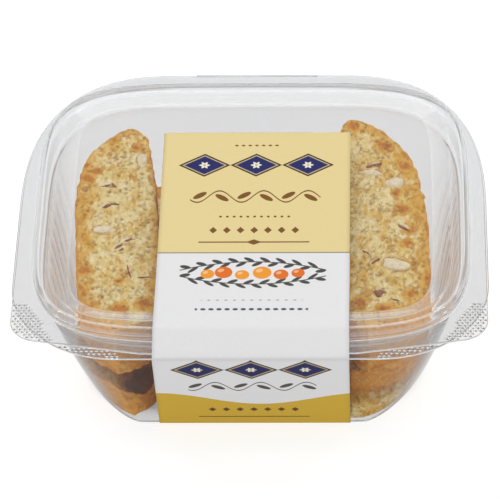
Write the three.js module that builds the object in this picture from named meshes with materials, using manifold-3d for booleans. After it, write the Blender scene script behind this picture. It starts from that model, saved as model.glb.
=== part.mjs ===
// A shut, clear clamshell pack of almond biscotti, held closed by a paper label band.
// Millimetres, +Z up, -Y the front. The origin is under the middle of the pack, on the table.

import * as THREE from 'three';
import * as BufferGeometryUtils from 'three/addons/utils/BufferGeometryUtils.js';
import Module from 'manifold-3d';

const wasm = await Module();
wasm.setup();

// ---- Driving dimensions ----

const SHEET = 0.6;              // thickness of the clear sheet
const GAP = 0.35;               // air kept between pieces that touch
const PAPER = 0.25;             // thickness of the label
const SLICE_GAP = 0.8;          // least air between the slices and the tub's wall

const FLANGE_Z = 55;            // top of the tub's flange
const CREST_Z = 60.3;           // top of the lid's ridge
const PANEL_Z = 57.5;           // top of the lid's sunk panel

// Outlines: half sizes, the half lengths of the straight runs, and how square the corners are.
const TUB_FOOT = { x: 70.5, y: 59.6, runX: 43, runY: 10, square: 1.45 };
const TUB_MOUTH = { x: 81.6, y: 74.8, runX: 0, runY: 0, square: 4.3 };
const RIDGE_FOOT = { x: 83.4, y: 76.2, runX: 0, runY: 0, square: 4.3 };
const FLANGE_BACK = { x: 89.4, y: 84, runX: 31, runY: 0, square: 2.6 };
const FLANGE_FRONT = { y: 84.2, corner: 41 };
const LID_FLANGE = { front: 82.2, short: 0.7 };             // short of the tub's flange at the sides and back
const LID_TAB = { start: 40, slope: 0.18, corner: 9 };      // the lid's front edge runs back to its tabs

const BASE_RISE = 1.4;          // the tub's middle stands clear of the table
const BASE_RING = 9;            // width of the ring that it stands on
const RING_TOP = 1.3;           // inside height of that ring
const FOOT_ROUND = 2;           // rounding between ring and wall
const FOOT_SOFT = 0.3;          // share of that rounding where its middle lies
const WALL_RINGS = [0.25, 0.5, 0.75];                       // heights between rounding and ledge
const SEAT_DROP = 6;            // depth of the ledge under the tub's flange
const SEAT_STEP = 1.1;          // how far that ledge steps in

const RIDGE_BEAD = { inset: 0.6, rise: 1.9, step: 0.8, lean: 0.2 };    // closing bead half way up the ridge
const RIDGE_OUT = 3;            // from the ridge's foot in to its crest
const RIDGE_TOP = 4.6;          // width of the crest
const RIDGE_FALL = 6.8;         // width of the slope from the crest to the panel
const RIDGE_ROUND = 0.5;
const PANEL_SOFT = { run: 1, rise: 0.3 };                   // soft bend from the slope to the panel

const HINGE_WIDTH = 48;         // fold that joins tub and lid at the back
const HINGE_THICK = 0.9;
const OUTLINE_REACH = 150;      // farther out than any outline goes

const LABEL_LEFT = -35.3;
const LABEL_RIGHT = 37.3;
const LABEL_BACK = 44.4;        // back edge, on the lid
const LABEL_LIFT = -46;         // where it leaves the panel for the ridge
const LABEL_UNDER = -28;        // end under the tub
const LABEL_BEND = 0.6;         // half the width of a soft bend in the paper

const ROUND_ANGLES = [0, 9, 18, 24, 30, 36, 39, 42, 48, 51, 54, 60, 66, 72, 81];    // in each quarter

// ---- Outlines as distances from the middle ----

const degrees = Math.PI / 180;
const quarterTurns = [0, 90, 180, 270];
const RING_ANGLES = quarterTurns.flatMap((turn) => ROUND_ANGLES.map((a) => (a + turn) * degrees));
const HALVINGS = 40;

// Distance from the middle to the edge of a region, along one direction.
function reach(isInside, angle) {
  let near = 0;
  let far = OUTLINE_REACH;
  for (let step = 0; step < HALVINGS; step++) {
    const middle = (near + far) / 2;
    if (isInside(middle * Math.cos(angle), middle * Math.sin(angle))) near = middle;
    else far = middle;
  }
  return near;
}

function cornered(x, y, runX, runY, square) {
  return (px, py) => {
    const u = Math.max(Math.abs(px) - runX, 0) / (x - runX);
    const v = Math.max(Math.abs(py) - runY, 0) / (y - runY);
    return u ** square + v ** square < 1;
  };
}

function inset(shape, by) {
  return cornered(shape.x - by, shape.y - by, shape.runX, shape.runY, shape.square);
}

function blendShape(low, high, t) {
  const mixed = Object.keys(low).map((key) => [key, low[key] + (high[key] - low[key]) * t]);
  return Object.fromEntries(mixed);
}

function tubFlange(px, py) {
  if (py >= 0) return inset(FLANGE_BACK, 0)(px, py);
  const { y, corner } = FLANGE_FRONT;
  return cornered(FLANGE_BACK.x, y, FLANGE_BACK.x - corner, y - corner, 2)(px, py);
}

// The lid's flange runs straight down each side to a thumb tab at each front corner.
function lidFlange(px, py) {
  const { front, short } = LID_FLANGE;
  if (py >= 0) return inset(FLANGE_BACK, short)(px, py);
  const { start, slope, corner } = LID_TAB;
  const edge = front - Math.max(Math.abs(px) - start, 0) * slope;
  const u = (Math.abs(px) - (FLANGE_BACK.x - short - corner)) / corner;
  const v = (-py - (edge - corner)) / corner;
  if (u > 0 && v > 0) return u * u + v * v < 1;
  return u < 1 && v < 1;
}

function ring(isInside, z, angles = RING_ANGLES) {
  return angles.map((angle) => {
    const distance = reach(isInside, angle);
    return new THREE.Vector3(distance * Math.cos(angle), distance * Math.sin(angle), z);
  });
}

// ---- Closed shells ----

// A skin from the first point through each ring to the last point.
function skin(firstPoint, rings, lastPoint) {
  const count = rings[0].length;
  const points = [firstPoint, ...rings.flat(), lastPoint];
  const last = points.length - 1;
  const faces = [];
  for (let i = 0; i < count; i++) {
    const next = (i + 1) % count;
    faces.push(0, 1 + next, 1 + i);
    for (let r = 0; r + 1 < rings.length; r++) {
      const here = 1 + r * count;
      const above = here + count;
      faces.push(here + i, here + next, above + next);
      faces.push(here + i, above + next, above + i);
    }
    const top = 1 + (rings.length - 1) * count;
    faces.push(top + i, top + next, last);
  }
  const geometry = new THREE.BufferGeometry();
  geometry.setAttribute('position', new THREE.Float32BufferAttribute(points.flatMap((p) => p.toArray()), 3));
  geometry.setIndex(faces);
  return geometry;
}

function toSolid(geometry) {
  const bare = geometry.clone();
  bare.deleteAttribute('normal');
  bare.deleteAttribute('uv');
  const merged = BufferGeometryUtils.mergeVertices(bare, 1e-4);
  return new wasm.Manifold(new wasm.Mesh({
    numProp: 3,
    vertProperties: new Float32Array(merged.attributes.position.array),
    triVerts: new Uint32Array(merged.index.array),
  }));
}

function toGeometry(solid) {
  const mesh = solid.getMesh();
  const geometry = new THREE.BufferGeometry();
  geometry.setAttribute('position', new THREE.Float32BufferAttribute(mesh.vertProperties, 3));
  geometry.setIndex(Array.from(mesh.triVerts));
  geometry.computeVertexNormals();
  return geometry;
}

function block(x0, x1, y0, y1, z0, z1) {
  const geometry = new THREE.BoxGeometry(x1 - x0, y1 - y0, z1 - z0);
  geometry.translate((x0 + x1) / 2, (y0 + y1) / 2, (z0 + z1) / 2);
  return toSolid(geometry);
}

const onAxis = (z) => new THREE.Vector3(0, 0, z);

// ---- Tub: ring foot, drafted wall, seat ledge, flange and the hinge fold ----

const SEAT_Z = FLANGE_Z - SEAT_DROP;
const WALL_HEIGHTS = WALL_RINGS.map((t) => FOOT_ROUND + (SEAT_Z - FOOT_ROUND) * t);
const wall = (z, by) => ring(inset(blendShape(TUB_FOOT, TUB_MOUTH, z / FLANGE_Z), by), z);
const foot = (by, z) => ring(inset(TUB_FOOT, by), z);

function makeTub() {
  const outside = [
    foot(BASE_RING + BASE_RISE, BASE_RISE),
    foot(BASE_RING, 0),
    foot(FOOT_ROUND, 0),
    foot(FOOT_ROUND * FOOT_SOFT, FOOT_ROUND * FOOT_SOFT),
    wall(FOOT_ROUND, 0),
    ...WALL_HEIGHTS.map((z) => wall(z, 0)),
    wall(SEAT_Z, SEAT_STEP),
    wall(SEAT_Z + SEAT_STEP, 0),
    ring(inset(TUB_MOUTH, 0), FLANGE_Z - SHEET),
    ring(tubFlange, FLANGE_Z - SHEET),
  ];
  const inside = [
    ring(tubFlange, FLANGE_Z),
    ring(inset(TUB_MOUTH, SHEET), FLANGE_Z),
    wall(SEAT_Z + SEAT_STEP + SHEET, SHEET),
    wall(SEAT_Z + SHEET, SEAT_STEP + SHEET),
    ...WALL_HEIGHTS.toReversed().map((z) => wall(z, SHEET)),
    wall(FOOT_ROUND + RING_TOP, SHEET),
    foot(FOOT_ROUND, RING_TOP),
    foot(BASE_RING, RING_TOP),
    foot(BASE_RING + BASE_RISE, BASE_RISE + SHEET),
  ];
  const shell = toSolid(skin(onAxis(BASE_RISE), [...outside, ...inside], onAxis(BASE_RISE + SHEET)));

  // The label slips under the front of the foot ring.
  const labelPath = block(
    LABEL_LEFT - GAP, LABEL_RIGHT + GAP, -TUB_FOOT.y - 1, BASE_RING - TUB_FOOT.y + 2,
    -1, PAPER + GAP,
  );

  const hingeY = FLANGE_BACK.y - GAP;
  const hinge = block(
    -HINGE_WIDTH / 2, HINGE_WIDTH / 2, hingeY, hingeY + HINGE_THICK,
    FLANGE_Z - SHEET, FLANGE_Z + GAP + SHEET,
  );
  return toGeometry(shell.subtract(labelPath).add(hinge));
}

// The space inside the tub, clear of its wall, which the baked slices fill out to.
function makeRoom() {
  const clear = SHEET + SLICE_GAP;
  const rings = [
    foot(FOOT_ROUND + SLICE_GAP, RING_TOP + GAP),
    wall(FOOT_ROUND + RING_TOP, clear),
    ...WALL_HEIGHTS.map((z) => wall(z, clear)),
    wall(SEAT_Z + SHEET, SEAT_STEP + clear),
    wall(FLANGE_Z, SEAT_STEP + clear),
  ];
  return toSolid(skin(onAxis(RING_TOP + GAP), rings, onAxis(FLANGE_Z)));
}

// ---- Lid: flange with tabs, beaded ridge and sunk panel ----

function makeLid() {
  const flangeTop = FLANGE_Z + GAP + SHEET;
  const beadZ = flangeTop + RIDGE_BEAD.rise;
  const crestIn = RIDGE_OUT + RIDGE_TOP;
  const panelIn = crestIn + RIDGE_FALL;
  // Insets and heights of the ridge's upper face, from its foot to the panel.
  const profile = [
    [0, flangeTop],
    [RIDGE_BEAD.inset, beadZ - RIDGE_BEAD.lean],
    [RIDGE_BEAD.inset + RIDGE_BEAD.step, beadZ + RIDGE_BEAD.lean],
    [RIDGE_OUT, CREST_Z - RIDGE_ROUND],
    [RIDGE_OUT + RIDGE_ROUND, CREST_Z],
    [crestIn - RIDGE_ROUND, CREST_Z],
    [crestIn, CREST_Z - RIDGE_ROUND],
    [panelIn - PANEL_SOFT.run, PANEL_Z + PANEL_SOFT.rise],
    [panelIn, PANEL_Z],
  ];
  const upper = profile.map(([by, z]) => ring(inset(RIDGE_FOOT, by), z));
  // Under the outer slope the skin is a sheet's thickness further in, so that the wall keeps its thickness.
  const under = (by) => (by < crestIn - RIDGE_ROUND * 2 ? by + SHEET : by);
  const lower = profile.map(([by, z]) => ring(inset(RIDGE_FOOT, under(by)), z - SHEET));
  const rings = [
    ...lower.reverse(),
    ring(lidFlange, flangeTop - SHEET),
    ring(lidFlange, flangeTop),
    ...upper,
  ];
  return toGeometry(toSolid(skin(onAxis(PANEL_Z - SHEET), rings, onAxis(PANEL_Z))));
}

// ---- Label: one strip of paper bent over the ridge and flange, down the front and under ----

function thicken(path, thickness) {
  const outer = path.map((point, i) => {
    const before = path[Math.max(i - 1, 0)];
    const after = path[Math.min(i + 1, path.length - 1)];
    const inward = point.clone().sub(before).normalize();
    const outward = after.clone().sub(point).normalize();
    const along = inward.add(outward).normalize();
    const edge = (i === 0 ? after : point).clone().sub(i === 0 ? point : before).normalize();
    const side = new THREE.Vector2(along.y, -along.x);
    const square = new THREE.Vector2(edge.y, -edge.x);
    return point.clone().addScaledVector(side, thickness / side.dot(square));
  });
  return [...path, ...outer.reverse()];
}

function makeLabel() {
  const crest = CREST_Z + GAP;
  const ridgeY = RIDGE_FOOT.y - RIDGE_OUT;
  const edgeY = FLANGE_FRONT.y + GAP;
  const ringY = TUB_FOOT.y - BASE_RING;
  // The side that faces the pack, as (y, z), from the back edge round to the end underneath.
  const facing = [
    [LABEL_BACK, PANEL_Z + GAP],
    [LABEL_LIFT, PANEL_Z + GAP],
    [RIDGE_TOP - ridgeY + 2.5 * LABEL_BEND, crest - LABEL_BEND / 2],
    [RIDGE_TOP - ridgeY + LABEL_BEND, crest],
    [-ridgeY + LABEL_BEND, crest],
    [-ridgeY - LABEL_BEND, crest - LABEL_BEND / 2],
    [-LID_FLANGE.front - GAP, FLANGE_Z + GAP + SHEET + GAP],
    [-edgeY, FLANGE_Z + GAP],
    [-edgeY, FLANGE_Z - SHEET - GAP],
    [-TUB_FOOT.y - 1.6 * LABEL_BEND, FOOT_ROUND],
    [-TUB_FOOT.y - LABEL_BEND, FOOT_ROUND / 2],
    [-TUB_FOOT.y, PAPER],
    [-ringY + LABEL_BEND, PAPER],
    [-ringY + 5 * LABEL_BEND, BASE_RISE - GAP],
    [LABEL_UNDER, BASE_RISE - GAP],
  ].map(([y, z]) => new THREE.Vector2(y, z));
  const section = new THREE.Shape(thicken(facing, PAPER));
  const strip = new THREE.ExtrudeGeometry(section, {
    depth: LABEL_RIGHT - LABEL_LEFT,
    bevelEnabled: false,
  });
  const turn = new THREE.Matrix4().makeBasis(
    new THREE.Vector3(0, 1, 0), new THREE.Vector3(0, 0, 1), new THREE.Vector3(1, 0, 0),
  );
  strip.applyMatrix4(turn);
  strip.translate(LABEL_LEFT, 0, 0);
  return toGeometry(toSolid(strip));
}

// ---- Biscotti: slices of a baked loaf, flat crust on one long side and domed crust on the other ----

// Directions round a slice, spread as on an ellipse of a slice's proportions.
const SLICE_STEPS = 40;
const SLICE_ASPECT = 3.6;
const SLICE_ANGLES = Array.from({ length: SLICE_STEPS }, (_, i) => {
  const turn = (i / SLICE_STEPS) * 2 * Math.PI;
  return Math.atan2(Math.sin(turn), SLICE_ASPECT * Math.cos(turn));
});
const EDGE_CRUMBLE = 0.9;       // rounding where a cut face meets the crust
const CRUST_CRAG = 0.4;         // depth of the crags in the crust
const CRUMB_CRAG = 0.22;        // depth of the pits in a cut face

// Slices of one layer. across and along place the middle of the flat side, turn and tilt are in
// degrees, and a tilted slice has its back end up. dome is -1 where the domed side faces left.
// blunt is how square the front and back ends are, curl is how far the flat side rounds in at them,
// and lean is how far it drifts in before that. Above a ledge the front end is set back.
const LOWER = { bottom: 2.4, thick: 20.8 };
const LOWER_THIN = { bottom: 2.4, thick: 17.6 };
const UPPER = { bottom: 24.0, thick: 22.2 };
const SLICES = [
  { name: 'slice_top_left', layer: UPPER, across: -36.4, along: 1, turn: 3.6, tilt: 0.6, dome: -1,
    length: 124, width: 31.9, blunt: [5, 3.2], curl: [36, 8], lean: 3, seed: 1 },
  { name: 'slice_top_mid_left', layer: UPPER, across: -34.2, along: -2, turn: 3.6, tilt: 0, dome: 1,
    length: 78, width: 30, blunt: [4, 6], curl: [6, 2], lean: 0, seed: 2 },
  { name: 'slice_top_mid_right', layer: UPPER, across: 33.4, along: -2, turn: 2.3, tilt: 0.6, dome: -1,
    length: 114, width: 30.4, blunt: [3, 3], curl: [6, 6], lean: 1, seed: 3 },
  { name: 'slice_top_right', layer: UPPER, across: 34.6, along: 3.2, turn: 2.3, tilt: 1.8, dome: 1,
    length: 122.4, width: 32, blunt: [6.5, 2.35], curl: [8, 6], lean: 0, seed: 4 },
  { name: 'slice_low_left', layer: LOWER_THIN, across: -34, along: -1.5, turn: -2, tilt: 0, dome: -1,
    length: 120, width: 33, blunt: [6, 4], curl: [20, 6], lean: 1, seed: 5 },
  { name: 'slice_low_mid_left', layer: LOWER, across: -32.4, along: 0, turn: -1, tilt: 0, dome: 1,
    length: 114, width: 30.8, blunt: [4, 3], curl: [6, 6], lean: 1, seed: 6 },
  { name: 'slice_low_mid_right', layer: LOWER, across: 32.2, along: 0, turn: 1, tilt: 0, dome: -1,
    length: 114, width: 31, blunt: [4, 3], curl: [6, 6], lean: 1, seed: 7 },
  { name: 'slice_low_right', layer: LOWER, across: 33.6, along: -1, turn: 0.5, tilt: 0, dome: 1,
    length: 120, width: 34, blunt: [6, 4], curl: [3, 6], lean: 1, seed: 8,
    ledge: { height: 9.6, depth: 5 } },
];
const CURL_START = 14;          // how late along a slice its flat side starts to round in

// Almond pieces in the cut face of a top slice: along, from the flat side, length, width, turn.
const ALMONDS = {
  slice_top_left: [[40.5, 5.6, 8.6, 4.2, 1], [-0.3, 20.9, 8.5, 5.6, 90], [13.8, 19.6, 4.1, 2.6, 131]],
  slice_top_mid_left: [[26, 15, 9, 4, 60], [-8, 20, 8, 4, 20], [-30, 11, 8, 4, 110]],
  slice_top_mid_right: [[30, 14, 8, 4, 30], [4, 9, 9, 4, 75], [-30, 18, 8, 4, 140]],
  slice_top_right: [
    [31.9, 13.1, 7.7, 2.6, 77], [27.4, 11.6, 8.3, 3.6, 101], [21.1, 20.9, 7.2, 5.6, 93],
    [-25.7, 19, 10.8, 6.4, 120], [-41.4, 12.3, 4.6, 5, 93],
  ],
};
const ALMOND_PROUD = 0.5;

// Smooth unevenness between -1 and 1, the same each time for one seed.
function uneven(seed, x, y, z) {
  const wave = (fx, fy, fz, phase) => Math.sin(x * fx + y * fy + z * fz + phase * seed);
  return (wave(0.31, 0.47, 0.6, 2.1) + wave(-0.72, 0.38, 0.9, 4.3) + wave(1.1, 0.9, -0.5, 1.7)) / 3;
}

// Inside test of a slice's outline about the middle of its width: u runs along it, v across it.
function sliceOutline(slice, by) {
  const halfLength = slice.length / 2 - by;
  const width = slice.width - 2 * by;
  return (u, v) => {
    const t = Math.abs(u) / halfLength;
    if (t >= 1) return false;
    const blunt = slice.blunt[u < 0 ? 0 : 1];
    const dome = width * Math.sqrt(1 - t ** blunt);
    const curl = slice.curl[u < 0 ? 0 : 1];
    const flat = slice.lean * t ** 2 + curl * t ** CURL_START;
    const height = v + width / 2;
    return height > flat && height < Math.max(dome, flat);
  };
}

function makeSlice(slice) {
  const { bottom, thick } = slice.layer;
  const middle = slice.width / 2;
  const outline = (by, z) => ring(sliceOutline(slice, by), z, SLICE_ANGLES);
  const rows = [
    outline(middle / 2, 0),
    outline(EDGE_CRUMBLE, 0),
    outline(0, EDGE_CRUMBLE),
    outline(0, thick / 3),
    outline(0, thick * 2 / 3),
    outline(0, thick - EDGE_CRUMBLE),
    outline(EDGE_CRUMBLE, thick),
    outline(middle / 2, thick),
  ];
  for (const point of rows.flat()) {
    const crag = uneven(slice.seed, point.x, point.y, point.z);
    const onFace = point.z === 0 || point.z === thick;
    if (onFace) {
      point.z -= Math.sign(point.z - thick / 2) * CRUMB_CRAG * (1 + crag);
    } else {
      point.x *= 1 + (crag - 1) * CRUST_CRAG / middle / 2;
      point.y *= 1 + (crag - 1) * CRUST_CRAG / middle;
    }
  }
  let solid = toSolid(skin(onAxis(0), rows, onAxis(thick)));
  for (const [along, across, length, width, turn] of ALMONDS[slice.name] ?? []) {
    const almond = new THREE.SphereGeometry(1, 6, 4);
    almond.rotateX(Math.PI / 2);
    almond.scale(length / 2, width / 2, ALMOND_PROUD * 3);
    almond.rotateZ(turn * degrees);
    almond.translate(along, across - middle, thick - ALMOND_PROUD * 2);
    solid = solid.add(toSolid(almond));
  }
  if (slice.ledge) {
    const { height, depth } = slice.ledge;
    const notch = new THREE.BoxGeometry(depth * 2, slice.width * 2, thick);
    notch.translate(-slice.length / 2, 0, height + thick / 2);
    solid = solid.subtract(toSolid(notch));
  }
  const geometry = toGeometry(solid);
  // Turned to lie along Y, the domed side faces left, or right once it is mirrored.
  if (slice.dome > 0) mirrorAcross(geometry);
  geometry.rotateZ(90 * degrees);
  geometry.translate(slice.dome * middle, 0, 0);
  geometry.rotateX(slice.tilt * degrees);
  geometry.rotateZ(slice.turn * degrees);
  const lift = (slice.length / 2) * Math.sin(slice.tilt * degrees);
  geometry.translate(slice.across, slice.along, bottom + lift);
  return toGeometry(toSolid(geometry).intersect(room));
}

// Mirrors a geometry in v = 0 and turns its faces back outwards.
function mirrorAcross(geometry) {
  geometry.scale(1, -1, 1);
  const index = geometry.index.array;
  for (let i = 0; i < index.length; i += 3) {
    const kept = index[i];
    index[i] = index[i + 1];
    index[i + 1] = kept;
  }
}

// ---- The pack ----

const clear = new THREE.MeshStandardMaterial({
  color: '#e9eef0', roughness: 0.08, metalness: 0, transparent: true, opacity: 0.3,
});
const paper = new THREE.MeshStandardMaterial({ color: '#ece3c8', roughness: 0.45, metalness: 0 });
const crumb = new THREE.MeshStandardMaterial({ color: '#d8b679', roughness: 0.9, metalness: 0 });

const pack = new THREE.Group();
const room = makeRoom();

function addPiece(name, geometry, material) {
  const mesh = new THREE.Mesh(geometry, material);
  mesh.name = name;
  pack.add(mesh);
}

addPiece('tub', makeTub(), clear);
addPiece('lid', makeLid(), clear);
addPiece('label', makeLabel(), paper);
for (const slice of SLICES) addPiece(slice.name, makeSlice(slice), crumb);

export default pack;
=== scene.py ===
"""A shut, clear clamshell pack of almond biscotti, held closed by a paper label band.

Sizes are in millimetres, +Z up, -Y the front. add_piece() brings each finished mesh to metres.
"""

import math
from collections import namedtuple
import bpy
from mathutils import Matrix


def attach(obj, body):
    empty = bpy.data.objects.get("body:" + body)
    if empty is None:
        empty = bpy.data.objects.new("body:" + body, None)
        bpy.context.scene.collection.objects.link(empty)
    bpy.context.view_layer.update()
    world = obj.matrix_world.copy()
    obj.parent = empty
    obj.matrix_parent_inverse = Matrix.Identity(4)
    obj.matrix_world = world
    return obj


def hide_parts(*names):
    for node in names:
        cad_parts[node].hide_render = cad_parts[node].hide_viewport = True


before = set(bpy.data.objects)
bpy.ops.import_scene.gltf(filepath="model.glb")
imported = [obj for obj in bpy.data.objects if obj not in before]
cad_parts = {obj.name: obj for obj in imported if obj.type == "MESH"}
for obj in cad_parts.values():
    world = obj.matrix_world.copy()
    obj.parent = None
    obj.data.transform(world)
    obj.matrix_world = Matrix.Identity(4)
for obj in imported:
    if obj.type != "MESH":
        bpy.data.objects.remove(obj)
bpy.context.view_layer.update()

from copy import copy
from functools import reduce

import bmesh
import bpy
from mathutils import Matrix, Vector, noise

MM = 0.001

# ---- Sizes of the pack, the same as in the part's source ----

SHEET = 0.6  # thickness of the clear sheet
GAP = 0.35  # air between pieces that touch
PAPER = 0.25  # thickness of the label

FLANGE_Z = 55  # top of the tub's flange
CREST_Z = 60.3  # top of the lid's ridge
PANEL_Z = 57.5  # top of the lid's sunk panel
LID_FLANGE_Z = FLANGE_Z + GAP + SHEET


class Outline(namedtuple("Outline", "x y run_x run_y square")):
    """Half sizes, half lengths of the straight runs, and how square the corners are."""

    def inset(self, by):
        return self._replace(x=self.x - by, y=self.y - by)

    def blend(self, other, share):
        return Outline(*(a + (b - a) * share for a, b in zip(self, other)))

    def holds(self, px, py):
        u = max(abs(px) - self.run_x, 0) / (self.x - self.run_x)
        v = max(abs(py) - self.run_y, 0) / (self.y - self.run_y)
        return u ** self.square + v ** self.square < 1


TUB_FOOT = Outline(70.5, 59.6, 43, 10, 1.45)
TUB_MOUTH = Outline(81.6, 74.8, 0, 0, 4.3)
RIDGE_FOOT = Outline(83.4, 76.2, 0, 0, 4.3)
FLANGE_BACK = Outline(89.4, 84, 31, 0, 2.6)
FLANGE_FRONT_Y = 84.2
FLANGE_FRONT_CORNER = 41
FLANGE_FRONT = Outline(
    FLANGE_BACK.x, FLANGE_FRONT_Y,
    FLANGE_BACK.x - FLANGE_FRONT_CORNER, FLANGE_FRONT_Y - FLANGE_FRONT_CORNER, 2,
)
LID_FRONT = 82.2
LID_SHORT = 0.7  # the lid's flange ends this short of the tub's
TAB_START = 40  # the lid's front edge runs back from here to its tabs
TAB_SLOPE = 0.18
TAB_CORNER = 9

BASE_RISE = 1.4  # the tub's middle stands clear of the table
BASE_RING = 9  # width of the ring that it stands on
FOOT_ROUND = 2.2
SEAT_DROP = 6  # depth of the ledge under the tub's flange
SEAT_STEP = 1.1

RIDGE_OUT = 3  # from the ridge's foot in to its crest
RIDGE_TOP = 4.6  # width of the crest
RIDGE_FALL = 6.8  # width of the slope from the crest to the panel
BEAD_RISE = 1.9  # height of the closing bead over the flange
BEAD_STEP = 0.8

HINGE_WIDTH = 48
LABEL_LEFT = -35.3
LABEL_RIGHT = 37.3
LABEL_BACK = 44.4
LABEL_LIFT = -46  # where the label leaves the panel for the ridge
LABEL_UNDER = -28  # where it ends under the tub
LABEL_BEND = 0.6

# ---- Camera ----

TARGET = Vector((-1.57, 3.8, 32.53))
ELEVATION = math.radians(40.37)
AZIMUTH = math.radians(2.34)
ROLL = math.radians(-1.68)
DISTANCE = 1650
LENS = 307.2
SENSOR = 36

# ---- Mesh helpers ----

SHELL_SIDES = 432
OUTLINE_REACH = 150  # farther out than any outline
HALVINGS = 26
BEND_STEPS = 4
BEND_SHARE = 0.45  # a bend takes up at most this share of the side before and after it


def farthest(holds, far):
    """How far holds() stays true, searched by halving."""
    near = 0.0
    for _ in range(HALVINGS):
        middle = (near + far) / 2
        if holds(middle):
            near = middle
        else:
            far = middle
    return near


def reach(holds, angle):
    """Distance from the middle to a region's edge, along one direction."""
    cos, sin = math.cos(angle), math.sin(angle)
    return farthest(lambda out: holds(out * cos, out * sin), OUTLINE_REACH)


# A corner of a section: distance out, height, size of its bend, and how much painted sheen the sheet
# has there.
Corner = namedtuple("Corner", "out z rounding milk", defaults=(0, 0))
Station = namedtuple("Station", "point fold milk")


def soften(corners):
    """Rounds a section's corners. Each station tells how sharply the section folds there."""
    stations = [Station(Vector(corners[0][:2]), 0, corners[0].milk)]
    for before, corner, after in zip(corners, corners[1:], corners[2:]):
        here = Vector(corner[:2])
        if not corner.rounding:
            stations.append(Station(here, 0, corner.milk))
            continue
        back = Vector(before[:2]) - here
        ahead = Vector(after[:2]) - here
        size = min(corner.rounding, back.length * BEND_SHARE, ahead.length * BEND_SHARE)
        start = here + back.normalized() * size
        end = here + ahead.normalized() * size
        bend = 1 - back.angle(ahead) / math.pi
        for step in range(BEND_STEPS + 1):
            t = step / BEND_STEPS
            point = start.lerp(here, t).lerp(here.lerp(end, t), t)
            stations.append(Station(point, bend * math.sin(math.pi * t), corner.milk))
    stations.append(Station(Vector(corners[-1][:2]), 0, corners[-1].milk))
    return stations


def loft(section, facing):
    """A skin of rings round Z. section(angle) gives the corners of the skin from the middle out.

    Its level faces look up where facing is 1 and down where it is -1.
    """
    bm = bmesh.new()
    turn, fold, milk = (bm.verts.layers.float.new(name) for name in ("turn", "fold", "milk"))
    ring = bmesh.ops.create_circle(bm, segments=SHELL_SIDES, radius=1)["verts"]
    edges = bm.edges[:]
    for vert in ring:
        vert[turn] = math.atan2(vert.co.y, vert.co.x)
    sections = {vert[turn]: soften(section(vert[turn])) for vert in ring}
    steps = len(sections[ring[0][turn]])
    for step in range(steps):
        for vert in ring:
            (distance, height), vert[fold], vert[milk] = sections[vert[turn]][step]
            vert.co = (distance * math.cos(vert[turn]), distance * math.sin(vert[turn]), height)
        if step == 0:
            middle = bmesh.ops.edgeloop_fill(bm, edges=edges)["faces"]
            bmesh.ops.poke(bm, faces=middle)
        if step + 1 < steps:
            grown = bmesh.ops.extrude_edge_only(bm, edges=edges)["geom"]
            ring = [part for part in grown if isinstance(part, bmesh.types.BMVert)]
            edges = [
                part for part in grown
                if isinstance(part, bmesh.types.BMEdge) and all(v in ring for v in part.verts)
            ]
    bmesh.ops.recalc_face_normals(bm, faces=bm.faces)
    bm.normal_update()
    if max((face.normal.z for face in bm.faces), key=abs) * facing < 0:
        bmesh.ops.reverse_faces(bm, faces=bm.faces)
    return bm


def add_object(name, data):
    made = bpy.data.objects.new(name, data)
    bpy.context.scene.collection.objects.link(made)
    return made


def add_piece(name, bm, materials, replaces=()):
    """Makes a piece from a mesh in millimetres and ties it to the frame."""
    bmesh.ops.scale(bm, vec=(MM, MM, MM), verts=bm.verts)
    mesh = bpy.data.meshes.new(name)
    bm.to_mesh(mesh)
    bm.free()
    mesh.shade_smooth()
    piece = add_object(name, mesh)
    for material in materials:
        mesh.materials.append(material)
    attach(piece, "root")
    if replaces:
        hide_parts(*replaces)
    return piece


def add_wall(piece, thickness, inner=0):
    """Gives a skin its thickness. inner tells which of its materials the inner side has."""
    wall = piece.modifiers.new("wall", "SOLIDIFY")
    wall.thickness = thickness * MM
    wall.offset = -1
    wall.use_even_offset = True
    wall.material_offset = inner


# ---- Shader graphs ----


def colour(code):
    """Linear colour of a web code such as e8d598."""
    parts = [int(code[i:i + 2], 16) / 255 for i in (0, 2, 4)]
    return (*(p / 12.92 if p <= 0.04045 else ((p + 0.055) / 1.055) ** 2.4 for p in parts), 1)


def operator(operation, swapped=False):
    """A method that puts a Math node between two values."""

    def apply(self, other):
        numbers = (other, self) if swapped else (self, other)
        return self.graph.maths(operation, *numbers)

    return apply


class Value:
    """A socket in a shader graph. Arithmetic on it adds Math nodes."""

    __add__ = __radd__ = operator("ADD")
    __mul__ = __rmul__ = operator("MULTIPLY")
    __sub__ = operator("SUBTRACT")
    __rsub__ = operator("SUBTRACT", swapped=True)
    __truediv__ = operator("DIVIDE")
    __pow__ = operator("POWER")
    both = operator("MINIMUM")
    either = operator("MAXIMUM")

    def __init__(self, graph, socket):
        self.graph = graph
        self.socket = socket

    def __abs__(self):
        return self.graph.maths("ABSOLUTE", self)

    def output(self, name):
        """Another output of the node that this one comes from."""
        return Value(self.graph, self.socket.node.outputs[name])

    def sine(self):
        return self.graph.maths("SINE", self)

    def wrapped(self, span):
        """Repeats every span, from minus half of it to plus half."""
        return self.graph.maths("WRAP", self, span / 2, -span / 2)

    def above(self, edge, soft):
        """0 below the edge and 1 above it, with a soft step."""
        limits = {"From Min": edge - soft, "From Max": edge + soft}
        return self.graph.node(
            "MapRange", {"interpolation_type": "SMOOTHSTEP"}, {"Value": self, **limits}
        )

    def below(self, edge, soft):
        return 1 - self.above(edge, soft)


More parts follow.
